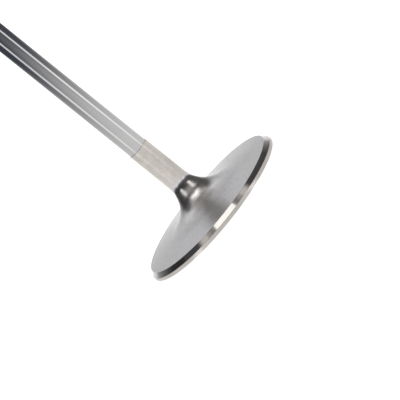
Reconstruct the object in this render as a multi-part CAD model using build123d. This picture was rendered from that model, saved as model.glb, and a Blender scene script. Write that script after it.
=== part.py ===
from build123d import *

import os
from math import cos, radians, sin, sqrt, tan

# A poppet valve for a piston engine, turned from one bar of steel and then ground.
# It stands on its combustion face, with +Z up the stem.
# The origin is the centre of the combustion face. Sizes are in millimetres and degrees.

# Overall
head_diameter = 55.0
overall_length = 127.0

# Head edge, from the combustion face up
margin_height = 1.2
seat_angle = 45.0
seat_face_width = 1.9
edge_round = 0.12

# Back of the head: a shallow cone, a wide blend, then the fillet that sweeps up into the neck
back_slope = 5.6
blend_slope = 30.0
blend_radius = 19.5
fillet_radius = 10.0

# Neck and ground stem. The neck stands upright, so the fillet ends at that slope.
upright_slope = 90.0
neck_diameter = 7.34
neck_top = 29.7
stem_diameter = 7.0
shoulder_angle = 45.0

# Tip end
keeper_groove_from_tip = 6.2
keeper_groove_radius = 1.5
keeper_groove_depth = 0.7
tip_chamfer = 0.7

# How close a vertex must lie to a named corner to be taken as that corner
corner_tolerance = 0.001


def arc_run(radius, steep, shallow):
    """Radial distance covered by an arc that turns from one slope to a shallower one."""
    return radius * (sin(radians(steep)) - sin(radians(shallow)))


def half_profile():
    """Half outline of the valve, in the plane of its axis, with every radius to the right."""
    head_r = head_diameter / 2
    neck_r = neck_diameter / 2
    stem_r = stem_diameter / 2

    # The seat leans back from the margin at its own angle
    seat_run = seat_face_width * cos(radians(seat_angle))
    seat_rise = seat_face_width * sin(radians(seat_angle))
    face_edge = Vector(head_r, 0)
    margin_top = Vector(head_r, margin_height)
    seat_top = Vector(head_r - seat_run, margin_height + seat_rise)

    # The cone takes up what the two arcs leave between the seat and the neck
    fillet_run = arc_run(fillet_radius, upright_slope, blend_slope)
    blend_run = arc_run(blend_radius, blend_slope, back_slope)
    cone_run = seat_top.X - neck_r - fillet_run - blend_run
    cone_inner = Vector(seat_top.X - cone_run, seat_top.Y + cone_run * tan(radians(back_slope)))

    # The neck is a little thicker than the stem, which is ground down to a small shoulder
    shoulder_rise = (neck_r - stem_r) * tan(radians(shoulder_angle))
    neck_end = Vector(neck_r, neck_top)
    stem_start = Vector(stem_r, neck_top + shoulder_rise)

    # The keeper groove is round at the bottom, so its width follows from its radius and depth
    groove_z = overall_length - keeper_groove_from_tip
    groove_half_width = sqrt(keeper_groove_radius**2 - (keeper_groove_radius - keeper_groove_depth) ** 2)
    groove_low = Vector(stem_r, groove_z - groove_half_width)
    groove_floor = Vector(stem_r - keeper_groove_depth, groove_z)
    groove_high = Vector(stem_r, groove_z + groove_half_width)

    chamfer_start = Vector(stem_r, overall_length - tip_chamfer)
    tip_edge = Vector(stem_r - tip_chamfer, overall_length)
    tip_centre = Vector(0, overall_length)

    with BuildSketch() as profile:
        with BuildLine():
            Polyline((0, 0), face_edge, margin_top, seat_top)
            cone = Line(seat_top, cone_inner)
            blend = JernArc(cone @ 1, cone % 1, blend_radius, back_slope - blend_slope)
            fillet_arc = JernArc(blend @ 1, blend % 1, fillet_radius, blend_slope - upright_slope)
            Polyline(fillet_arc @ 1, neck_end, stem_start, groove_low)
            ThreePointArc(groove_low, groove_floor, groove_high)
            Polyline(groove_high, chamfer_start, tip_edge, tip_centre, (0, 0))
        make_face()
        corners = [face_edge, margin_top, seat_top]
        fillet(vertices_at(profile, corners), radius=edge_round)
    return profile.sketch


def vertices_at(sketch, corners):
    """Vertices of a sketch that lie on the given corners."""
    return [
        vertex
        for vertex in sketch.vertices()
        if any((vertex.center() - corner).length < corner_tolerance for corner in corners)
    ]


def make_valve():
    """The whole valve as one turned solid."""
    upright = Plane.XZ * half_profile()
    return revolve(upright, axis=Axis.Z)


os.makedirs("parts", exist_ok=True)
valve = make_valve()
valve.label = "valve"
export_step(valve, "parts/valve.step")
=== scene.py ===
"""Studio scene of an engine valve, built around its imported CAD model.

The valve stands upright on its combustion face. The camera is turned, so that the stem points up
and to the left in the picture, as it does in the photograph. Lengths are in metres and angles in
degrees, unless a class says otherwise.
"""

import logging
import math
from dataclasses import dataclass, replace
from enum import Enum
from functools import cached_property
from typing import Callable, ClassVar, Iterator, Optional, Sequence, Union

import bpy
from mathutils import Matrix, Vector


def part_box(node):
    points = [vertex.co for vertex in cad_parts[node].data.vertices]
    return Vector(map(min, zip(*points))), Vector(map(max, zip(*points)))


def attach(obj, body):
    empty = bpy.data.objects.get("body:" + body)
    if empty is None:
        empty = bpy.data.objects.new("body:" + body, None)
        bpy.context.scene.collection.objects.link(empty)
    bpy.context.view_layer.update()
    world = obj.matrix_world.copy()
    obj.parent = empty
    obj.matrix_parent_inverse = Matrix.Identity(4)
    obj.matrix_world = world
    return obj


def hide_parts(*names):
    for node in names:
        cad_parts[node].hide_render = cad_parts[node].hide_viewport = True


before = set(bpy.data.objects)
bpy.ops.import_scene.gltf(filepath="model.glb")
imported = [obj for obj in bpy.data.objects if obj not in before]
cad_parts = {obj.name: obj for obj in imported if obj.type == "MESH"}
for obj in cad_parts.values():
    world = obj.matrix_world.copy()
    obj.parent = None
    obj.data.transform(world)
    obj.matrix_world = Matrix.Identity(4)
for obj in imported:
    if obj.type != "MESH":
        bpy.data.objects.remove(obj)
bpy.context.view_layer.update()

LOG = logging.getLogger("valve_scene")

CAD_NODE = "valve"
BODY = "root"
PIECE_NAME = "turned_valve"
BAKE_MAP = "OFBake"

MM = 0.001
MM_PER_METRE = 1000.0
MICROMETRE = 0.000001
FULL_TURN = 2 * math.pi
UP = Vector((0.0, 0.0, 1.0))

# A span is where a change starts and where it is complete, or the values at its two ends
Span = tuple[float, float]
Colour = tuple[float, float, float]
Face = tuple[int, ...]
Socket = bpy.types.NodeSocket
Outputs = bpy.types.NodeOutputs
Source = Union[Socket, float, Sequence[float]]

WHITE: Colour = (1.0, 1.0, 1.0)
BLACK: Colour = (0.0, 0.0, 0.0)


def sides(segments: int) -> list[Vector]:
    """Unit vectors that point away from the axis, evenly spaced round it."""
    angles = (FULL_TURN * index / segments for index in range(segments))
    return [Vector((math.cos(angle), math.sin(angle), 0.0)) for angle in angles]


def towards(azimuth: float, elevation: float) -> Vector:
    """Unit vector from the valve to a place on the set.

    Args:
        azimuth: Turn to the right from the camera's side.
        elevation: Height above the level.

    Returns:
        The vector.
    """
    turn, lift = math.radians(azimuth), math.radians(elevation)
    level = math.cos(lift)
    return Vector((level * math.sin(turn), -level * math.cos(turn), math.sin(lift)))


def turned_faces(rows: int, segments: int) -> list[Face]:
    """Faces of a turned surface that ends in a point on the axis at its foot and at its top.

    Args:
        rows: Rows of faces, from the foot up.
        segments: Faces in each row.

    Returns:
        The faces, which look outwards. The points are the foot, ring after ring, and the top.
    """
    faces: list[Face] = []
    top = (rows - 1) * segments + 1
    for row in range(rows):
        below = (row - 1) * segments + 1
        above = below + segments
        for index in range(segments):
            after = (index + 1) % segments
            if row == 0:
                faces.append((0, above + after, above + index))
            elif row == rows - 1:
                faces.append((top, below + index, below + after))
            else:
                faces.append((below + index, below + after, above + after, above + index))
    return faces


class Zone(Enum):
    """Surfaces of the valve that are finished differently, from the face up to the tip."""

    FACE = "combustion_face"
    MARGIN = "margin"
    SEAT = "seat"
    BACK = "head_back"
    NECK = "neck"
    SHOULDER = "shoulder"
    STEM = "stem"
    TIP = "tip_end"


class Value(Enum):
    """Kinds of value that a node group takes in or puts out."""

    NUMBER = "NodeSocketFloat"
    COLOUR = "NodeSocketColor"


@dataclass(frozen=True)
class Corner:
    """A corner of the half outline, in millimetres, and the finish of the run that leaves it."""

    radius: float
    height: float
    rounding: float
    zone: Zone

    @property
    def point(self) -> Vector:
        """The corner as a point of the outline."""
        return Vector((self.radius, self.height))


@dataclass(frozen=True)
class Ring:
    """One ring of the turned surface, in millimetres, its normal, and the finish of what follows."""

    radius: float
    height: float
    normal_out: float
    normal_up: float
    zone: Zone


@dataclass(frozen=True)
class ValveHead:
    """The head, from the combustion face over the seat and up the back. Millimetres, degrees."""

    margin_height: float = 1.2
    seat_angle: float = 45.0
    seat_face_width: float = 1.9
    edge_round: float = 0.12
    back_slope: float = 5.6
    blend_slope: float = 30.0
    blend_radius: float = 19.5
    fillet_radius: float = 10.0
    upright: float = 90.0

    def corners(self, head_radius: float, neck_radius: float) -> list[Corner]:
        """Corners of the head, from the centre of the face to the foot of the neck.

        Args:
            head_radius: Outer radius of the head.
            neck_radius: Radius that the fillet runs into.

        Returns:
            The corners in order, outwards and then up.
        """
        lean = math.radians(self.seat_angle)
        seat_top = Vector((
            head_radius - self.seat_face_width * math.cos(lean),
            self.margin_height + self.seat_face_width * math.sin(lean),
        ))
        slope = math.radians(self.blend_slope)
        reach = self.tangent(self.blend_radius, self.back_slope, self.blend_slope)
        reach += self.tangent(self.fillet_radius, self.blend_slope, self.upright)
        cone_inner = neck_radius + reach * math.cos(slope)
        cone_rise = (seat_top.x - cone_inner) * math.tan(math.radians(self.back_slope))
        cone_top = seat_top.y + cone_rise
        neck_foot = cone_top + reach * math.sin(slope)
        edge = self.edge_round
        return [
            Corner(0.0, 0.0, 0.0, Zone.FACE),
            Corner(head_radius, 0.0, edge, Zone.MARGIN),
            Corner(head_radius, self.margin_height, edge, Zone.SEAT),
            Corner(seat_top.x, seat_top.y, edge, Zone.BACK),
            Corner(cone_inner, cone_top, self.blend_radius, Zone.BACK),
            Corner(neck_radius, neck_foot, self.fillet_radius, Zone.NECK),
        ]

    @staticmethod
    def tangent(radius: float, shallow: float, steep: float) -> float:
        """Length of a corner's tangent, where a run turns from one slope to another on a radius."""
        return radius * math.tan(math.radians(steep - shallow) / 2)


@dataclass(frozen=True)
class ValveStem:
    """The neck, the ground stem, the keeper groove and the tip. Millimetres, degrees."""

    neck_diameter: float = 7.34
    neck_top: float = 29.7
    stem_diameter: float = 7.0
    shoulder_angle: float = 45.0
    shoulder_round: float = 0.05
    groove_from_tip: float = 6.2
    groove_radius: float = 1.5
    groove_depth: float = 0.7
    groove_half_width: float = 1.275
    tip_chamfer: float = 0.7
    edge_round: float = 0.06

    @property
    def neck_radius(self) -> float:
        """Half the neck's diameter."""
        return self.neck_diameter / 2

    def corners(self, length: float) -> list[Corner]:
        """Corners from the top of the neck to the centre of the tip.

        Args:
            length: Height of the tip above the combustion face.

        Returns:
            The corners in order, upwards.
        """
        neck = self.neck_radius
        stem = self.stem_diameter / 2
        shoulder = (neck - stem) * math.tan(math.radians(self.shoulder_angle))
        groove = length - self.groove_from_tip
        half = self.groove_half_width
        apex = stem - half * math.tan(self.groove_wall_angle())
        small = self.edge_round
        return [
            Corner(neck, self.neck_top, self.shoulder_round, Zone.SHOULDER),
            Corner(stem, self.neck_top + shoulder, self.shoulder_round, Zone.STEM),
            Corner(stem, groove - half, small, Zone.TIP),
            Corner(apex, groove, self.groove_radius, Zone.TIP),
            Corner(stem, groove + half, small, Zone.STEM),
            Corner(stem, length - self.tip_chamfer, small, Zone.TIP),
            Corner(stem - self.tip_chamfer, length, small, Zone.TIP),
            Corner(0.0, length, 0.0, Zone.TIP),
        ]

    def groove_wall_angle(self) -> float:
        """Angle of the groove's short straight wall to the axis, just above its arc.

        Returns:
            The angle, in radians.
        """
        level = self.groove_radius - self.groove_depth
        span = math.hypot(self.groove_half_width, level)
        return math.atan2(self.groove_half_width, level) - math.acos(self.groove_radius / span)


@dataclass(frozen=True)
class Outline:
    """Turns the corners of a half outline into rings, with every corner rounded. Millimetres."""

    # The most that one step of an arc turns, in radians
    arc_step: float = math.radians(2.5)
    least_arc_steps: int = 6
    longest_run: float = 2.5

    def rings(self, corners: Sequence[Corner]) -> list[Ring]:
        """Rings from the first corner to the last.

        Args:
            corners: Corners in order. The first and the last lie on the axis.

        Returns:
            The rings, each with the exact normal of the surface there.
        """
        found = [self.ring(corners[0].point, corners[0], corners[1], corners[0].zone)]
        for before, corner, after in zip(corners, corners[1:], corners[2:]):
            arc = list(self.rounded(before, corner, after))
            found.extend(self.run(found[-1], arc[0]))
            found.extend(arc)
        last = corners[-1]
        end = self.ring(last.point, corners[-2], last, last.zone)
        found.extend(self.run(found[-1], end))
        found.append(end)
        return found

    @staticmethod
    def ring(point: Vector, start: Corner, end: Corner, zone: Zone) -> Ring:
        """A ring at a point of the straight run between two corners."""
        way = (end.point - start.point).normalized()
        return Ring(point.x, point.y, way.y, -way.x, zone)

    def run(self, start: Ring, end: Ring) -> Iterator[Ring]:
        """Rings between two rings of one straight run, so that no quad is long and thin.

        Args:
            start: The ring before them.
            end: The ring after them.

        Yields:
            The rings, in order.
        """
        length = math.hypot(end.radius - start.radius, end.height - start.height)
        pieces = max(1, math.ceil(length / self.longest_run))
        for index in range(1, pieces):
            share = index / pieces
            radius = start.radius + (end.radius - start.radius) * share
            height = start.height + (end.height - start.height) * share
            yield replace(end, radius=radius, height=height, zone=start.zone)

    def rounded(self, before: Corner, corner: Corner, after: Corner) -> Iterator[Ring]:
        """Rings round one corner.

        Args:
            before: The corner before it.
            corner: The corner itself, with its rounding.
            after: The corner after it.

        Yields:
            Rings from the start of the rounding to its end.
        """
        way_in = (corner.point - before.point).normalized()
        way_out = (after.point - corner.point).normalized()
        turn = math.atan2(way_in.x * way_out.y - way_in.y * way_out.x, way_in.dot(way_out))
        tangent = corner.rounding * math.tan(abs(turn) / 2)
        side = math.copysign(1.0, turn)
        start = corner.point - way_in * tangent
        centre = start + Vector((-way_in.y, way_in.x)) * corner.rounding * side
        steps = max(self.least_arc_steps, math.ceil(abs(turn) / self.arc_step))
        for index in range(steps + 1):
            angle = turn * index / steps
            way = Matrix.Rotation(angle, 2) @ way_in
            point = centre + Vector((way.y, -way.x)) * corner.rounding * side
            zone = before.zone if index < steps / 2 else corner.zone
            yield Ring(point.x, point.y, way.y, -way.x, zone)


@dataclass(frozen=True)
class Octaves:
    """How fine a noise goes: how many finer layers it has, and how strong each is on the last."""

    count: float
    fade: float


class NodeSheet:
    """Adds nodes to one node tree from left to right, and links them."""

    column_width = 220.0

    def __init__(self, tree: bpy.types.NodeTree) -> None:
        """Takes the tree that the nodes go into."""
        self.tree = tree
        self.column = 0

    def add(self, kind: str, **settings: object) -> bpy.types.Node:
        """A new node to the right of the last.

        Args:
            kind: Type of the node.
            settings: Its settings by name.

        Returns:
            The node.
        """
        node = self.tree.nodes.new(kind)
        for name, value in settings.items():
            setattr(node, name, value)
        node.location = (self.column * self.column_width, 0.0)
        self.column += 1
        return node

    def feed(self, socket: Socket, value: Source) -> None:
        """Links a socket to what feeds it, or sets it where that is a plain value.

        Args:
            socket: The socket to feed.
            value: Another socket, a number, a vector, or a colour without its alpha.
        """
        if isinstance(value, Socket):
            self.tree.links.new(value, socket)
        elif socket.type == "RGBA":
            socket.default_value = (*value, 1.0)
        else:
            socket.default_value = value

    def fill(self, node: bpy.types.Node, **values: Source) -> Outputs:
        """Feeds the inputs of a node by name.

        Args:
            node: The node.
            values: What feeds each input, by its name with underscores for spaces.

        Returns:
            The node's outputs.
        """
        for name, value in values.items():
            self.feed(node.inputs[name.replace("_", " ")], value)
        return node.outputs

    def through(self, kind: str, *values: Source, **settings: object) -> Socket:
        """What comes out of a new node.

        Args:
            kind: Type of the node.
            values: What feeds its first inputs, in their order.
            settings: Its settings by name.

        Returns:
            Its first output.
        """
        node = self.add(kind, **settings)
        for socket, value in zip(node.inputs, values):
            self.feed(socket, value)
        return node.outputs[0]

    def math(self, operation: str, *values: Source) -> Socket:
        """The result of a Math node."""
        return self.through("ShaderNodeMath", *values, operation=operation)

    def between(
        self, value: Source, start: Source, end: Source, low: Source = 0.0, high: Source = 1.0
    ) -> Socket:
        """A value eased from low, where it is at start, to high, where it is at end."""
        ends = (value, start, end, low, high)
        return self.through("ShaderNodeMapRange", *ends, interpolation_type="SMOOTHSTEP")

    def mix(self, share: Source, first: Source, second: Source) -> Socket:
        """A colour between two others.

        Args:
            share: How far it is towards the second, from 0 to 1.
            first: The first colour.
            second: The second colour.

        Returns:
            The colour at each point.
        """
        node = self.add("ShaderNodeMix", data_type="RGBA")
        given = {"Factor_Float": share, "A_Color": first, "B_Color": second}
        for socket in node.inputs:
            if socket.identifier in given:
                self.feed(socket, given[socket.identifier])
        return next(socket for socket in node.outputs if socket.identifier == "Result_Color")

    def fade(self, value: Source, span: Span, first: Source, second: Source) -> Socket:
        """A colour that is the first where a value is at a span's start, the second at its end."""
        return self.mix(self.between(value, *span), first, second)

    def distance(self, first: Socket, second: Socket) -> Socket:
        """Length of a pair of numbers taken as a vector."""
        squares = self.math("MULTIPLY_ADD", first, first, self.math("MULTIPLY", second, second))
        return self.math("SQRT", squares)

    def noise(self, octaves: Octaves, **values: Source) -> Socket:
        """Noise from 0 to 1.

        Args:
            octaves: How fine it goes.
            values: What feeds its inputs by name. With a W among them, it has a fourth axis.

        Returns:
            The noise at each point.
        """
        node = self.add("ShaderNodeTexNoise", noise_dimensions="4D" if "W" in values else "3D")
        self.fill(node, Detail=octaves.count, Roughness=octaves.fade, **values)
        return node.outputs["Fac"]

    def place(self) -> Socket:
        """Place of each point in its object."""
        return self.add("ShaderNodeTexCoord").outputs["Object"]

    def axes(self) -> Outputs:
        """Place of each point in its object, as three numbers."""
        return self.fill(self.add("ShaderNodeSeparateXYZ"), Vector=self.place())

    def seen(self) -> Socket:
        """Tells rays from the camera, from a shiny surface or through glass from the rest.

        Returns:
            One for such a ray, else zero.
        """
        path = self.add("ShaderNodeLightPath").outputs
        shiny = self.math("MAXIMUM", path["Is Glossy Ray"], path["Is Transmission Ray"])
        return self.math("MAXIMUM", path["Is Camera Ray"], shiny)

    def glow(self, colour: Source = WHITE, strength: Source = 1.0) -> Socket:
        """A shader that shines by itself."""
        return self.through("ShaderNodeEmission", colour, strength)

    def both(self, first: Socket, second: Socket) -> Socket:
        """Two shaders added together."""
        return self.through("ShaderNodeAddShader", first, second)

    def on_front(self, shader: Socket) -> Socket:
        """Puts a shader on the front of a surface, which can be seen through from the back.

        Args:
            shader: The front's shader.

        Returns:
            The shader of both sides.
        """
        back = self.add("ShaderNodeNewGeometry").outputs["Backfacing"]
        clear = self.through("ShaderNodeBsdfTransparent")
        return self.through("ShaderNodeMixShader", back, shader, clear)


class Effect:
    """A node group that the finishes share. It is made once, where it is first needed."""

    name: ClassVar[str]
    inputs: ClassVar[dict[str, Value]] = {}
    outputs: ClassVar[dict[str, Value]]

    @classmethod
    def tree(cls) -> bpy.types.NodeTree:
        """The group's tree.

        Returns:
            The tree, with its sockets and nodes.
        """
        tree = bpy.data.node_groups.get(cls.name)
        if tree is None:
            tree = bpy.data.node_groups.new(cls.name, "ShaderNodeTree")
            for direction, sockets in (("INPUT", cls.inputs), ("OUTPUT", cls.outputs)):
                for socket, kind in sockets.items():
                    tree.interface.new_socket(socket, in_out=direction, socket_type=kind.value)
            sheet = NodeSheet(tree)
            results = cls.draw(sheet, sheet.add("NodeGroupInput").outputs)
            sheet.fill(sheet.add("NodeGroupOutput"), **results)
        return tree

    @classmethod
    def draw(cls, sheet: NodeSheet, given: Outputs) -> dict[str, Socket]:
        """Adds the group's own nodes. Each effect has its own.

        Args:
            sheet: Where the nodes go.
            given: What the group takes in, by name.

        Returns:
            What the group puts out, by name.
        """
        raise NotImplementedError(cls.name)

    @classmethod
    def on(cls, sheet: NodeSheet, **values: Source) -> Outputs:
        """Places the group on a sheet.

        Args:
            sheet: The sheet of a material, or of another group.
            values: What feeds each input, by its name with underscores for spaces.

        Returns:
            What the group puts out there, by name.
        """
        return sheet.fill(sheet.add("ShaderNodeGroup", node_tree=cls.tree()), **values)


class LathePosition(Effect):
    """Radius and height of a point on the turned part in millimetres, and its side, a unit pair."""

    name = "Lathe Position"
    outputs = dict.fromkeys(("Radius", "Height", "Side X", "Side Y"), Value.NUMBER)
    axis_gap = 0.0001

    @classmethod
    def draw(cls, sheet: NodeSheet, given: Outputs) -> dict[str, Socket]:
        """Adds the nodes.

        Args:
            sheet: Where the nodes go.
            given: Nothing.

        Returns:
            What the group puts out, by name.
        """
        x, y, z = (sheet.math("MULTIPLY", part, MM_PER_METRE) for part in sheet.axes())
        radius = sheet.math("MAXIMUM", sheet.distance(x, y), cls.axis_gap)
        side_x, side_y = (sheet.math("DIVIDE", part, radius) for part in (x, y))
        return {"Radius": radius, "Height": z, "Side X": side_x, "Side Y": side_y}


class TurningMarks(Effect):
    """Tool marks that run round the part, some a long way and some not."""

    name = "Turning Marks"
    inputs = dict.fromkeys(("Pitch", "Breaks"), Value.NUMBER)
    outputs = {"Marks": Value.NUMBER}
    octaves = Octaves(3.0, 0.62)

    @classmethod
    def draw(cls, sheet: NodeSheet, given: Outputs) -> dict[str, Socket]:
        """Adds the nodes.

        Args:
            sheet: Where the nodes go.
            given: How far apart the marks are, in millimetres, and how often they break off.

        Returns:
            Depth of the marks, from 0 to 1.
        """
        place = LathePosition.on(sheet)
        across = sheet.math("DIVIDE", place["Radius"], given["Pitch"])
        along = sheet.math("DIVIDE", place["Height"], given["Pitch"])
        around = (sheet.math("MULTIPLY", place[f"Side {axis}"], given["Breaks"]) for axis in "XY")
        point = sheet.through("ShaderNodeCombineXYZ", across, *around)
        return {"Marks": sheet.noise(cls.octaves, Vector=point, W=along, Scale=1.0)}


class FineGrain(Effect):
    """Even grain, as wide as it is long."""

    name = "Fine Grain"
    inputs = {"Size": Value.NUMBER}
    outputs = {"Grain": Value.NUMBER}
    octaves = Octaves(2.0, 0.6)

    @classmethod
    def draw(cls, sheet: NodeSheet, given: Outputs) -> dict[str, Socket]:
        """Adds the nodes.

        Args:
            sheet: Where the nodes go.
            given: Size of the grain, in millimetres.

        Returns:
            Height of the grain, from 0 to 1.
        """
        scale = sheet.math("DIVIDE", MM_PER_METRE, given["Size"])
        return {"Grain": sheet.noise(cls.octaves, Vector=sheet.place(), Scale=scale)}


class SteelTint(Effect):
    """Steel's colour, in soft patches of two tones, with painted shade where the marks are deep."""

    name = "Steel Tint"
    inputs = {
        "Colour": Value.COLOUR,
        "Patch Colour": Value.COLOUR,
        "Patch Size": Value.NUMBER,
        "Marks": Value.NUMBER,
        "Mark Shade": Value.NUMBER,
    }
    outputs = {"Colour": Value.COLOUR, "Patches": Value.NUMBER}
    octaves = Octaves(3.0, 0.55)
    patch_edge: Span = (0.35, 0.65)

    @classmethod
    def draw(cls, sheet: NodeSheet, given: Outputs) -> dict[str, Socket]:
        """Adds the nodes.

        Args:
            sheet: Where the nodes go.
            given: The two colours, the patches' size in millimetres, the marks and their painted
                shade.

        Returns:
            The colour, and the mask of the patches from 0 to 1.
        """
        scale = sheet.math("DIVIDE", MM_PER_METRE, given["Patch Size"])
        spread = sheet.noise(cls.octaves, Vector=sheet.place(), Scale=scale)
        patches = sheet.between(spread, *cls.patch_edge)
        toned = sheet.mix(patches, given["Colour"], given["Patch Colour"])
        # Painted shade: the colour darkens where the marks are deep
        shade = sheet.math("MULTIPLY", given["Marks"], given["Mark Shade"])
        return {"Colour": sheet.mix(shade, toned, BLACK), "Patches": patches}


@dataclass(frozen=True)
class SteelFinish:
    """A finish of bare steel. Pitch, patches and grain are in millimetres, depths in micrometres."""

    colour: Colour = (0.60, 0.585, 0.57)
    patch_colour: Colour = (0.58, 0.57, 0.56)
    patch_size: float = 6.0
    roughness: float = 0.3
    roughness_swing: float = 0.06
    mark_pitch: float = 0.4
    mark_breaks: float = 2.0
    mark_depth: float = 1.0
    # Painted shade in the deep marks, as a share of the colour
    mark_shade: float = 0.08
    grain_size: float = 0.3
    grain_depth: float = 0.5
    anisotropy: float = 0.0

    # Turn of the marks: a quarter where they run round the axis, none where they run along the outline
    marks_across: float = 0.25

    def material(self, name: str) -> bpy.types.Material:
        """The finish as a material.

        Args:
            name: Name of the new material.

        Returns:
            The material, with its nodes in place.
        """
        material = bpy.data.materials.new(name)
        material.use_nodes = True
        sheet = NodeSheet(material.node_tree)
        shader = material.node_tree.nodes["Principled BSDF"]
        sheet.fill(shader, Metallic=1.0)
        if self.anisotropy:
            sheet.fill(shader, Anisotropic=self.anisotropy, Anisotropic_Rotation=self.marks_across)
        marks = TurningMarks.on(sheet, Pitch=self.mark_pitch, Breaks=self.mark_breaks)["Marks"]
        grain = FineGrain.on(sheet, Size=self.grain_size)["Grain"]
        tint = SteelTint.on(
            sheet,
            Colour=self.colour,
            Patch_Colour=self.patch_colour,
            Patch_Size=self.patch_size,
            Marks=marks,
            Mark_Shade=self.mark_shade,
        )
        grained = self.relief(sheet, grain, self.grain_depth)
        sheet.fill(
            shader,
            Base_Color=tint["Colour"],
            Roughness=self.rough(sheet, marks, tint["Patches"]),
            Normal=self.relief(sheet, marks, self.mark_depth, grained),
        )
        return material

    def rough(self, sheet: NodeSheet, marks: Socket, patches: Socket) -> Socket:
        """Roughness that follows the marks and the patches.

        Args:
            sheet: Where the nodes go.
            marks: Depth of the tool marks, from 0 to 1.
            patches: Mask of the soft patches, from 0 to 1.

        Returns:
            The roughness at each point.
        """
        worn = sheet.math("ADD", marks, patches)
        swung = sheet.math("MULTIPLY_ADD", worn, self.roughness_swing, self.roughness)
        return sheet.math("SUBTRACT", swung, self.roughness_swing)

    @staticmethod
    def relief(
        sheet: NodeSheet, height: Socket, depth: float, below: Optional[Socket] = None
    ) -> Socket:
        """Normal of a relief, laid over another where one is given.

        Args:
            sheet: Where the nodes go.
            height: The relief, from 0 to 1.
            depth: How deep it is, in micrometres.
            below: Normal of the relief under it.

        Returns:
            The normal of both.
        """
        node = sheet.add("ShaderNodeBump")
        sheet.fill(node, Strength=1.0, Distance=depth * MICROMETRE, Height=height)
        if below is not None:
            sheet.fill(node, Normal=below)
        return node.outputs["Normal"]


@dataclass(frozen=True)
class BackFinish(SteelFinish):
    """The head's back: satin on the cone, polished on the fillet, with a soft change between."""

    # Radii in millimetres where the polish gives way to the satin. The patches move that edge a bit.
    polish_edge: Span = (9.0, 12.0)
    polish_waver: float = 0.5
    polished: float = 0.265

    # The crest of the fillet is shinier still. It starts between these heights, in millimetres.
    crest_edge: Span = (11.2, 12.5)
    crest: float = 0.18

    def rough(self, sheet: NodeSheet, marks: Socket, patches: Socket) -> Socket:
        """Roughness of the satin, which falls towards the polished fillet.

        Args:
            sheet: Where the nodes go.
            marks: Depth of the tool marks, from 0 to 1.
            patches: Mask of the soft patches, from 0 to 1.

        Returns:
            The roughness at each point.
        """
        satin = super().rough(sheet, marks, patches)
        place = LathePosition.on(sheet)
        reach = sheet.math("MULTIPLY_ADD", patches, self.polish_waver, place["Radius"])
        share = sheet.between(reach, *self.polish_edge)
        fillet = sheet.between(place["Height"], *self.crest_edge, self.polished, self.crest)
        rise = sheet.math("SUBTRACT", satin, fillet)
        return sheet.math("MULTIPLY_ADD", rise, share, fillet)


FINISHES: dict[Zone, SteelFinish] = {
    Zone.FACE: SteelFinish(
        roughness=0.30, mark_pitch=0.5, mark_breaks=0.4, mark_depth=2.0, anisotropy=0.6
    ),
    Zone.MARGIN: SteelFinish(
        colour=(0.62, 0.595, 0.565),
        patch_colour=(0.59, 0.565, 0.54),
        roughness=0.34,
        mark_pitch=0.2,
        mark_depth=0.6,
        grain_depth=0.8,
    ),
    Zone.SEAT: SteelFinish(
        colour=(0.61, 0.59, 0.57),
        patch_colour=(0.59, 0.575, 0.56),
        roughness=0.09,
        roughness_swing=0.02,
        mark_pitch=0.15,
        mark_breaks=0.6,
        mark_depth=0.15,
        mark_shade=0.05,
        grain_depth=0.05,
    ),
    Zone.BACK: BackFinish(
        colour=(0.76, 0.745, 0.745),
        patch_colour=(0.69, 0.685, 0.69),
        patch_size=0.9,
        roughness=0.315,
        mark_pitch=4.0,
        mark_breaks=45.0,
        mark_depth=1.6,
        mark_shade=0.12,
        grain_size=0.35,
        grain_depth=2.4,
        anisotropy=0.7,
        marks_across=0.0,
    ),
    Zone.NECK: SteelFinish(
        colour=(0.745, 0.71, 0.67),
        patch_colour=(0.715, 0.675, 0.635),
        patch_size=3.5,
        roughness=0.26,
        mark_pitch=0.3,
        mark_depth=0.2,
        mark_shade=0.04,
        grain_size=0.25,
        grain_depth=1.6,
    ),
    # The step's steel is paler than the rest, as a painted highlight on the step
    Zone.SHOULDER: SteelFinish(
        colour=(0.98, 0.96, 0.93), patch_colour=(0.95, 0.93, 0.90), roughness=0.7, mark_depth=0.2
    ),
    Zone.STEM: SteelFinish(
        colour=(0.60, 0.60, 0.60),
        patch_colour=(0.585, 0.585, 0.59),
        patch_size=12.0,
        roughness=0.10,
        roughness_swing=0.02,
        mark_pitch=0.2,
        mark_breaks=1.5,
        mark_depth=0.08,
        mark_shade=0.05,
        grain_depth=0.02,
    ),
    Zone.TIP: SteelFinish(roughness=0.38, mark_pitch=0.25, mark_breaks=1.0, mark_depth=0.6),
}


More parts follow.
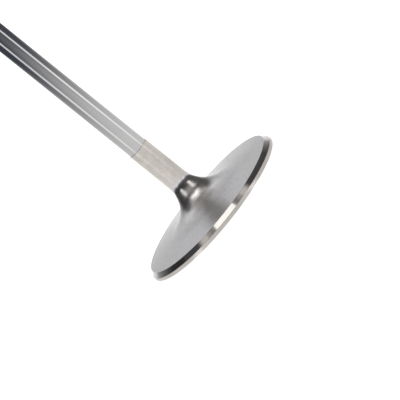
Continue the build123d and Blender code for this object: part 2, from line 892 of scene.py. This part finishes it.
@dataclass(frozen=True)
class Valve:
    """The whole valve as one turned mesh, with a finish for each zone. Millimetres."""

    head: ValveHead = ValveHead()
    stem: ValveStem = ValveStem()
    outline: Outline = Outline()
    segments: int = 256

    # The blasted finish of the neck ends on the fillet, a little below the neck's straight part
    neck_finish_from: float = 14.3

    def build(self) -> bpy.types.Object:
        """Builds the mesh and puts it in place of the CAD node.

        Returns:
            The new piece.
        """
        rings = self.rings()
        points, normals = self.points(rings)
        faces = turned_faces(len(rings) - 1, self.segments)
        mesh = bpy.data.meshes.new(PIECE_NAME)
        mesh.from_pydata(points, [], faces)
        mesh.validate()
        order = list(Zone)
        finishes = [order.index(ring.zone) for ring in rings[:-1] for _ in range(self.segments)]
        mesh.polygons.foreach_set("material_index", finishes)
        mesh.polygons.foreach_set("use_smooth", [True] * len(faces))
        self.lay_map(mesh, rings)
        mesh.normals_split_custom_set_from_vertices(normals)
        piece = bpy.data.objects.new(PIECE_NAME, mesh)
        bpy.context.scene.collection.objects.link(piece)
        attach(piece, BODY)
        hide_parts(CAD_NODE)
        triangles = sum(len(face) - 2 for face in faces)
        LOG.info("%s: %d rings, %d triangles", piece.name, len(rings), triangles)
        return piece

    def rings(self) -> list[Ring]:
        """Rings of the valve, sized from the CAD node's box.

        Returns:
            The rings, the first and the last on the axis.
        """
        low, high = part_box(CAD_NODE)
        corners = self.head.corners(high.x * MM_PER_METRE, self.stem.neck_radius)
        corners += self.stem.corners((high.z - low.z) * MM_PER_METRE)
        return [self.finished(ring) for ring in self.outline.rings(corners)]

    def finished(self, ring: Ring) -> Ring:
        """Parts the fillet between the back's finish and the neck's.

        Args:
            ring: A ring of the outline.

        Returns:
            The ring with its zone.
        """
        if ring.zone not in (Zone.BACK, Zone.NECK):
            return ring
        return replace(ring, zone=Zone.NECK if ring.height > self.neck_finish_from else Zone.BACK)

    def points(self, rings: Sequence[Ring]) -> tuple[list[Vector], list[Vector]]:
        """Points of the mesh and their normals, in metres.

        Args:
            rings: Rings of the outline, the first and the last on the axis.

        Returns:
            The points and the normals: foot, then ring after ring, then tip.
        """
        outward = sides(self.segments)
        points = [UP * (rings[0].height * MM)]
        normals = [-UP]
        for ring in rings[1:-1]:
            height, lean = UP * (ring.height * MM), UP * ring.normal_up
            points += [side * ring.radius * MM + height for side in outward]
            normals += [side * ring.normal_out + lean for side in outward]
        points.append(UP * (rings[-1].height * MM))
        normals.append(UP)
        return points, normals

    def lay_map(self, mesh: bpy.types.Mesh, rings: Sequence[Ring]) -> None:
        """Gives the mesh a map: once round the valve across, and along its outline upwards.

        Args:
            mesh: The mesh, with its faces row after row.
            rings: Rings of the outline, the first and the last on the axis.
        """
        lengths = [0.0]
        for before, after in zip(rings, rings[1:]):
            step = math.hypot(after.radius - before.radius, after.height - before.height)
            lengths.append(lengths[-1] + step)
        layer = mesh.uv_layers.new(name=BAKE_MAP)
        for face in mesh.polygons:
            row, index = divmod(face.index, self.segments)
            start, end = index / self.segments, (index + 1) / self.segments
            low, high = lengths[row] / lengths[-1], lengths[row + 1] / lengths[-1]
            middle = (start + end) / 2
            if row == 0:
                spots = ((middle, low), (end, high), (start, high))
            elif row == len(rings) - 2:
                spots = ((middle, high), (start, low), (end, low))
            else:
                spots = ((start, low), (end, low), (end, high), (start, high))
            for loop, spot in zip(face.loop_indices, spots):
                layer.data[loop].uv = spot

    def dress(self, piece: bpy.types.Object) -> None:
        """Gives each zone its finish.

        Args:
            piece: The valve's mesh object.
        """
        for zone in Zone:
            piece.data.materials.append(FINISHES[zone].material(zone.value))
            LOG.info("%s: finish %s", piece.name, zone.value)


class CardSheet(NodeSheet):
    """Node sheet of a card on the set: X is to the right, Y away from the camera and Z up."""

    def __init__(self, tree: bpy.types.NodeTree) -> None:
        """Takes the tree, and adds the nodes that give each point's place."""
        super().__init__(tree)
        self.x, self.y, self.z = self.axes()

    @cached_property
    def reach(self) -> Socket:
        """Distance of each point from the valve's axis."""
        return self.distance(self.x, self.y)


@dataclass(frozen=True)
class Card:
    """A flat or curved thing on the set. Its look adds nodes, gives a shader."""

    name: str
    points: Sequence[Vector]
    faces: Sequence[Face]
    look: Callable[[CardSheet], Socket]

    def build(self) -> bpy.types.Object:
        """Puts the card on the set.

        Returns:
            The card, with the shader that its look makes.
        """
        mesh = bpy.data.meshes.new(self.name)
        mesh.from_pydata(self.points, [], self.faces)
        card = bpy.data.objects.new(self.name, mesh)
        bpy.context.scene.collection.objects.link(card)
        material = bpy.data.materials.new(f"{self.name}_look")
        material.use_nodes = True
        nodes = material.node_tree.nodes
        nodes.remove(nodes["Principled BSDF"])
        sheet = CardSheet(material.node_tree)
        sheet.fill(nodes["Material Output"], Surface=self.look(sheet))
        mesh.materials.append(material)
        LOG.info("%s: in place", self.name)
        return card

    def build_for_reflections(self) -> None:
        """Puts the card on the set, and leaves it out of everything but reflections."""
        card = self.build()
        for ray in ("camera", "diffuse", "transmission", "volume_scatter", "shadow"):
            setattr(card, f"visible_{ray}", False)


@dataclass(frozen=True)
class FlatRing:
    """A flat ring round the axis that faces up."""

    hole: float
    reach: float
    height: float
    segments: int = 96

    def points(self) -> list[Vector]:
        """Its points, one inner and one outer at each step round it."""
        lift = UP * self.height
        return [side * r + lift for side in sides(self.segments) for r in (self.hole, self.reach)]

    def faces(self) -> list[Face]:
        """Its faces, one for each step round it."""
        steps = ((2 * step, 2 * ((step + 1) % self.segments)) for step in range(self.segments))
        return [(here, here + 1, after + 1, after) for here, after in steps]


@dataclass(frozen=True)
class Floor:
    """A white floor that keeps the valve's shadow. From below it can be seen through."""

    shape: FlatRing = FlatRing(hole=0.0265, reach=6.0, height=-0.0003)
    colour: Colour = (0.9, 0.9, 0.9)

    # Its painted white glow is weaker close to the valve, where the lamps light it more and the
    # valve's shadow shows
    paling: Span = (0.04, 0.22)
    whites: Span = (0.62, 1.0)

    def build(self) -> None:
        """Lays the floor."""
        Card("floor", self.shape.points(), self.shape.faces(), self.look).build()

    def look(self, sheet: CardSheet) -> Socket:
        """White where it is seen, a pale colour for the light it takes, and clear from below.

        Args:
            sheet: Where the nodes go.

        Returns:
            The surface's shader.
        """
        white = sheet.between(sheet.reach, *self.paling, *self.whites)
        glow = sheet.glow(strength=sheet.math("MULTIPLY", white, sheet.seen()))
        plain = sheet.through("ShaderNodeBsdfDiffuse", self.colour)
        return sheet.on_front(sheet.both(glow, plain))


@dataclass(frozen=True)
class TableSheet:
    """The glossy sheet under the valve, as the metal sees it: a painted pool of light, bright near by,
    darker further out.
    """

    shape: FlatRing = FlatRing(hole=0.0265, reach=2.95, height=-0.0001)
    gloss: float = 0.02
    ior: float = 1.49
    near_colour: Colour = (0.90, 0.89, 0.88)
    far_unlit_colour: Colour = (0.040, 0.046, 0.068)

    # The painted pool of light is longer than wide: a little towards the camera, and far behind the
    # valve
    pool: Span = (0.10, 0.54)
    aside: float = 0.02
    narrowing_in_front: float = 0.78
    narrowing_behind: float = 0.25

    # Close to the head, its right side has painted shade
    near_right_shade_colour: Colour = (0.71, 0.70, 0.695)
    rightward: Span = (0.0, 0.055)
    right_edge: Span = (0.150, 0.125)

    # Two painted streaks of light from the strip lights run across the sheet. Sines of the angle give
    # their width.
    streak_azimuth: float = 51.0
    streak_sines: Span = (0.21, 0.05)
    streak_start: Span = (0.150, 0.165)
    streak_end: Span = (1.6, 1.0)
    streak_rise: Span = (0.165, 0.42)
    streak_levels: Span = (0.46, 1.0)
    streak_turn: Span = (0.0, 0.150)
    streak_sides: Span = (1.0, 1.03)

    # Close to the head, the strips also leave two painted glints on the sheet
    glint_azimuth: float = 30.0
    glint_sines: Span = (0.12, 0.03)
    glint_edge: Span = (0.050, 0.040)
    glint_level: float = 0.45

    def build(self) -> None:
        """Lays the sheet, seen in reflections only."""
        ring = self.shape
        Card("table_sheet", ring.points(), ring.faces(), self.look).build_for_reflections()

    def look(self, sheet: CardSheet) -> Socket:
        """A fading painted pool of light, painted streaks and glints, under a clear gloss.

        Args:
            sheet: Where the nodes go.

        Returns:
            The surface's shader.
        """
        # Painted shade on the right side of the sheet, close to the valve
        close = sheet.between(sheet.reach, *self.right_edge)
        right = sheet.math("MULTIPLY", sheet.between(sheet.x, *self.rightward), close)
        near = sheet.mix(right, self.near_colour, self.near_right_shade_colour)
        pool = sheet.glow(sheet.fade(self.pool_reach(sheet), self.pool, near, self.far_unlit_colour))
        lines = sheet.glow(strength=self.painted_streaks_and_glints(sheet))
        fresnel = sheet.through("ShaderNodeFresnel", self.ior)
        gloss = sheet.through("ShaderNodeBsdfAnisotropic", fresnel, self.gloss, distribution="GGX")
        return sheet.on_front(sheet.both(sheet.both(pool, lines), gloss))

    def pool_reach(self, sheet: CardSheet) -> Socket:
        """Distance from the pool's middle, shortened in front of the valve and more behind it.

        Args:
            sheet: Where the nodes go.

        Returns:
            The distance at each point.
        """
        ways = (-self.narrowing_in_front, self.narrowing_behind)
        in_front, behind = (
            sheet.math("MAXIMUM", sheet.math("MULTIPLY", sheet.y, way), 0.0) for way in ways
        )
        across = sheet.math("SUBTRACT", sheet.x, self.aside)
        return sheet.distance(across, sheet.math("ADD", in_front, behind))

    def painted_streaks_and_glints(self, sheet: CardSheet) -> Socket:
        """Brightness of the painted streaks, which start a little way from the valve, and of the
        painted glints.

        Args:
            sheet: Where the nodes go.

        Returns:
            The brightness at each point.
        """
        inside = sheet.between(self.sine_from(sheet, self.streak_azimuth), *self.streak_sines)
        started = sheet.between(sheet.reach, *self.streak_start)
        lasting = sheet.between(sheet.reach, *self.streak_end)
        level = sheet.between(sheet.reach, *self.streak_rise, *self.streak_levels)
        side = sheet.between(sheet.x, *self.streak_turn, *self.streak_sides)
        painted_streak = inside
        for factor in (started, lasting, level, side):
            painted_streak = sheet.math("MULTIPLY", painted_streak, factor)
        # Painted glints of the strips, close to the head
        sine = self.sine_from(sheet, self.glint_azimuth)
        glint = sheet.between(sine, *self.glint_sines, 0.0, self.glint_level)
        close = sheet.between(sheet.reach, *self.glint_edge)
        return sheet.math("MULTIPLY_ADD", glint, close, painted_streak)

    @staticmethod
    def sine_from(sheet: CardSheet, azimuth: float) -> Socket:
        """Sine of each point's angle from two lines that run to the front, left and right.

        Args:
            sheet: Where the nodes go.
            azimuth: Angle of both lines from the camera's side.

        Returns:
            The sine from the nearer line, without its sign.
        """
        turn = math.radians(azimuth)
        across = sheet.math("MULTIPLY", sheet.math("ABSOLUTE", sheet.x), math.cos(turn))
        off = sheet.math("MULTIPLY_ADD", sheet.y, math.sin(turn), across)
        return sheet.math("DIVIDE", sheet.math("ABSOLUTE", off), sheet.reach)


@dataclass(frozen=True)
class Cove:
    """A white backdrop and a pale ceiling over the set, as the metal sees them, with painted light and
    shade.
    """

    half_width: float = 1.4
    distance: float = 1.1
    height: float = 1.66
    front: float = -0.46
    unlit: Colour = (0.078, 0.079, 0.083)

    # The part of the backdrop with painted light is narrower at the foot, and its sides are soft
    widening: Span = (0.30, 1.0)
    lit_half_widths: Span = (0.75, 1.0)
    side_fade: Span = (-0.22, 0.22)

    # The backdrop's painted light is white at the foot and darker above, with paler sides at the top
    foot_heights: Span = (0.37, 0.12)
    lower_colour: Colour = (0.66, 0.665, 0.68)
    lower_side_colour: Colour = (0.46, 0.465, 0.48)
    lower_side: Span = (0.20, 0.55)
    upper_heights: Span = (0.65, 1.05)
    upper_colour: Colour = (0.52, 0.52, 0.53)
    upper_side_colour: Colour = (0.92, 0.92, 0.93)
    upper_side: Span = (0.15, 0.42)

    # The ceiling's part with painted light lies a little to the right. It is brightest over the
    # backdrop.
    ceiling_aside: float = 0.045
    ceiling_side: Span = (0.79, 0.95)
    ceiling_colour: Colour = (0.76, 0.72, 0.70)
    rear_colour: Colour = (1.0, 0.98, 0.97)
    rear: Span = (0.45, 0.75)

    # Round the softbox, which hangs under it, it has painted shade, with a paler painted band and
    # front edge
    crown_shade_colour: Colour = (0.27, 0.26, 0.255)
    crown_side_shade_colour: Colour = (0.45, 0.43, 0.415)
    crown_side: Span = (0.475, 0.545)
    crown_edge: Span = (0.65, 0.60)
    crown_back: Span = (0.56, 0.51)
    band_colour: Colour = (0.55, 0.53, 0.51)
    band_front: Span = (0.20, 0.32)
    band_back: Span = (0.44, 0.32)
    brow_colour: Colour = (0.44, 0.42, 0.405)
    brow: Span = (-0.33, -0.37)

    def build(self) -> None:
        """Stands the backdrop up and hangs the ceiling, both seen in reflections only."""
        foot, top, front = (
            [Vector((side * self.half_width, place, height)) for side in (-1.0, 1.0)]
            for place, height in (
                (self.distance, 0.0),
                (self.distance, self.height),
                (self.front, self.height),
            )
        )
        one_face = [(0, 1, 3, 2)]
        Card("backdrop", foot + top, one_face, self.backdrop).build_for_reflections()
        Card("ceiling", top + front, one_face, self.ceiling).build_for_reflections()

    def backdrop(self, sheet: CardSheet) -> Socket:
        """Painted light: white at the foot, darker above, and paler again towards the sides at the
        top.

        Args:
            sheet: Where the nodes go.

        Returns:
            The surface's shader.
        """
        aside = sheet.math("ABSOLUTE", sheet.x)
        upper = sheet.fade(aside, self.upper_side, self.upper_colour, self.upper_side_colour)
        lower = sheet.fade(aside, self.lower_side, self.lower_colour, self.lower_side_colour)
        wall = sheet.fade(sheet.z, self.upper_heights, lower, upper)
        lit = sheet.fade(sheet.z, self.foot_heights, wall, WHITE)
        half_width = sheet.between(sheet.z, *self.widening, *self.lit_half_widths)
        beyond = sheet.math("SUBTRACT", aside, half_width)
        return sheet.glow(sheet.fade(beyond, self.side_fade, lit, self.unlit))

    def ceiling(self, sheet: CardSheet) -> Socket:
        """Pale painted light, with a crown of painted shade round the softbox.

        Args:
            sheet: Where the nodes go.

        Returns:
            The surface's shader.
        """
        aside = sheet.math("ABSOLUTE", sheet.math("SUBTRACT", sheet.x, self.ceiling_aside))
        pale = sheet.fade(sheet.y, self.rear, self.ceiling_colour, self.rear_colour)
        within = sheet.between(aside, *self.crown_edge)
        ahead = sheet.between(sheet.y, *self.crown_back)
        crown = sheet.math("MULTIPLY", within, ahead)
        outer = sheet.mix(crown, pale, self.crown_side_shade_colour)
        halves = (sheet.between(sheet.y, *span) for span in (self.band_front, self.band_back))
        band = sheet.mix(sheet.math("MULTIPLY", *halves), self.crown_shade_colour, self.band_colour)
        middle = sheet.fade(sheet.y, self.brow, band, self.brow_colour)
        lit = sheet.fade(aside, self.crown_side, middle, outer)
        return sheet.glow(sheet.fade(aside, self.ceiling_side, lit, self.unlit))


@dataclass(frozen=True)
class StudioRoom:
    """The room round the set, as the metal sees it, in painted light and shade: dim walls, a little
    light behind the camera.

    Its spans are shares of its radius.
    """

    radius: float = 3.0
    rows: int = 48
    segments: int = 96
    left_wall: Colour = (0.040, 0.039, 0.040)
    right_wall: Colour = (0.088, 0.085, 0.084)
    walls: Span = (-0.5, 0.5)
    front: Colour = (0.30, 0.29, 0.28)
    front_side: Span = (-0.5, -0.75)
    front_heights: Span = (0.36, 0.53)
    below: Colour = (0.55, 0.55, 0.55)
    below_heights: Span = (-0.02, -0.10)

    def build(self) -> None:
        """Puts the room round the set, seen in reflections only."""
        points = [-UP * self.radius]
        for row in range(1, self.rows):
            lift = math.pi * row / self.rows - math.pi / 2
            level, rise = math.cos(lift), UP * math.sin(lift)
            points += [(side * level + rise) * self.radius for side in sides(self.segments)]
        points.append(UP * self.radius)
        faces = [face[::-1] for face in turned_faces(self.rows, self.segments)]
        Card("studio_room", points, faces, self.look).build_for_reflections()

    def look(self, sheet: CardSheet) -> Socket:
        """Painted light and shade by side and height.

        Args:
            sheet: Where the nodes go.

        Returns:
            The surface's shader.
        """
        place = (sheet.x, sheet.y, sheet.z)
        x, y, z = (sheet.math("DIVIDE", part, self.radius) for part in place)
        wall = sheet.fade(x, self.walls, self.left_wall, self.right_wall)
        ahead = sheet.between(y, *self.front_side)
        lit = sheet.math("MULTIPLY", ahead, sheet.between(z, *self.front_heights))
        upper = sheet.mix(lit, wall, self.front)
        return sheet.glow(sheet.fade(z, self.below_heights, upper, self.below))


@dataclass(frozen=True)
class Lamp:
    """One area lamp that points at the valve's axis, or close by it."""

    name: str
    distance: float
    width: float
    height: float
    radiance: float
    colour: Colour = WHITE
    azimuth: float = 0.0
    elevation: float = 0.0

    # Where it points: this far to the right of the axis, and this far above the floor
    aim_aside: float = 0.0
    aim_height: float = 0.0

    # A lamp that isn't mirrored again is left out of rays deeper than this
    mirrored_again: bool = True
    deepest_ray: ClassVar[float] = 2.5

    def build(self) -> None:
        """Hangs the lamp. Its power follows from how bright its surface looks."""
        data = bpy.data.lights.new(self.name, "AREA")
        data.shape = "RECTANGLE"
        data.size = self.width
        data.size_y = self.height
        data.energy = self.radiance * self.width * self.height * math.pi
        data.color = self.colour
        if not self.mirrored_again:
            self.fade_after_first_mirror(data)
        out = towards(self.azimuth, self.elevation)
        lamp = bpy.data.objects.new(self.name, data)
        lamp.location = out * self.distance + Vector((self.aim_aside, 0.0, self.aim_height))
        lamp.rotation_mode = "QUATERNION"
        lamp.rotation_quaternion = (-out).to_track_quat("-Z", "Y")
        bpy.context.scene.collection.objects.link(lamp)
        LOG.info("%s: hung", self.name)

    def fade_after_first_mirror(self, data: bpy.types.AreaLight) -> None:
        """Keeps the lamp out of reflections of reflections, which the real neck is too matt to show.

        Args:
            data: The lamp's light.
        """
        data.use_nodes = True
        sheet = NodeSheet(data.node_tree)
        depth = sheet.add("ShaderNodeLightPath").outputs["Ray Depth"]
        glow = next(node for node in data.node_tree.nodes if node.type == "EMISSION")
        sheet.fill(glow, Strength=sheet.math("LESS_THAN", depth, self.deepest_ray))


@dataclass(frozen=True)
class Studio:
    """Lamps and world round the set."""

    # The key light hangs above the camera's side of the valve
    softbox: Lamp = Lamp(
        "softbox",
        distance=0.60,
        width=0.53,
        height=0.112,
        radiance=2.1,
        colour=(1.0, 0.96, 0.93),
        elevation=65.5,
        aim_aside=0.025,
        mirrored_again=False,
    )

    # The seat shows the narrow rear end of it
    rim: Lamp = replace(
        softbox,
        name="softbox_rim",
        width=0.252,
        height=0.052,
        radiance=1.38,
        colour=(1.0, 0.99, 0.965),
        elevation=75.5,
        aim_aside=0.014,
    )

    # An upright strip light stands on each side of the camera
    left_strip: Lamp = Lamp(
        "strip_left",
        distance=0.80,
        width=0.30,
        height=0.475,
        radiance=1.50,
        colour=(1.0, 0.955, 0.92),
        azimuth=-49.5,
        aim_height=0.4525,
    )
    right_strip: Lamp = replace(left_strip, name="strip_right", azimuth=49.5, radiance=1.64)

    # A weak light below the floor is for the combustion face
    underlight: Lamp = Lamp(
        "underlight",
        distance=0.9,
        width=0.5,
        height=0.5,
        radiance=1.5,
        azimuth=180.0,
        elevation=-50.0,
    )
    ambient: float = 0.80

    def build(self) -> None:
        """Hangs the lamps and sets the world."""
        strips = (self.left_strip, self.right_strip)
        for lamp in (self.softbox, self.rim, *strips, self.underlight):
            lamp.build()
        self.world()

    def world(self) -> None:
        """A white world where it is seen, and a soft fill elsewhere."""
        world = bpy.data.worlds.new("studio_world")
        world.use_nodes = True
        sheet = NodeSheet(world.node_tree)
        level = sheet.between(sheet.seen(), 0.0, 1.0, self.ambient, 1.0)
        sheet.fill(world.node_tree.nodes["Background"], Color=WHITE, Strength=level)
        bpy.context.scene.world = world
        LOG.info("studio_world: set")


@dataclass(frozen=True)
class PhotoCamera:
    """The photograph's camera, at azimuth 0. Metres, degrees and pixels of the picture."""

    elevation: float = 12.3
    distance: float = 1.0
    picture_side: float = 400.0
    sensor_width: float = 36.0
    pixels_per_metre: float = 3315.0

    # The centre of the combustion face in the picture, and the axis from the stem to the head
    face_pixel: tuple[float, float] = (213.2, 208.8)
    axis_pixels: tuple[float, float] = (0.779, 0.627)
    clip_near: float = 0.01
    clip_far: float = 50.0

    def build(self) -> None:
        """Sets the camera up and gives it to the scene."""
        back = towards(0.0, self.elevation)
        level = Vector((1.0, 0.0, 0.0))
        up = back.cross(level)
        down_x, down_y = Vector(self.axis_pixels).normalized()
        right = level * down_y - up * down_x
        top = level * down_x + up * down_y
        middle = self.picture_side / 2
        shift_right = (self.face_pixel[0] - middle) / self.pixels_per_metre
        shift_down = (self.face_pixel[1] - middle) / self.pixels_per_metre
        data = bpy.data.cameras.new("photo_camera")
        data.sensor_width = self.sensor_width
        data.lens = self.pixels_per_metre * self.distance * self.sensor_width / self.picture_side
        data.clip_start, data.clip_end = self.clip_near, self.clip_far
        camera = bpy.data.objects.new("photo_camera", data)
        turned = Matrix((right, top, back)).transposed()
        place = back * self.distance - right * shift_right + top * shift_down
        camera.matrix_world = Matrix.Translation(place) @ turned.to_4x4()
        bpy.context.scene.collection.objects.link(camera)
        bpy.context.scene.camera = camera
        LOG.info("photo_camera: lens %.0f mm", data.lens)


def main() -> None:
    """Builds the scene in order."""
    logging.basicConfig(level=logging.INFO, format="%(message)s")
    bpy.context.scene.view_settings.view_transform = "Standard"
    PhotoCamera().build()
    valve = Valve()
    piece = valve.build()
    valve.dress(piece)
    Floor().build()
    TableSheet().build()
    Cove().build()
    StudioRoom().build()
    Studio().build()


if __name__ == "__main__":
    main()
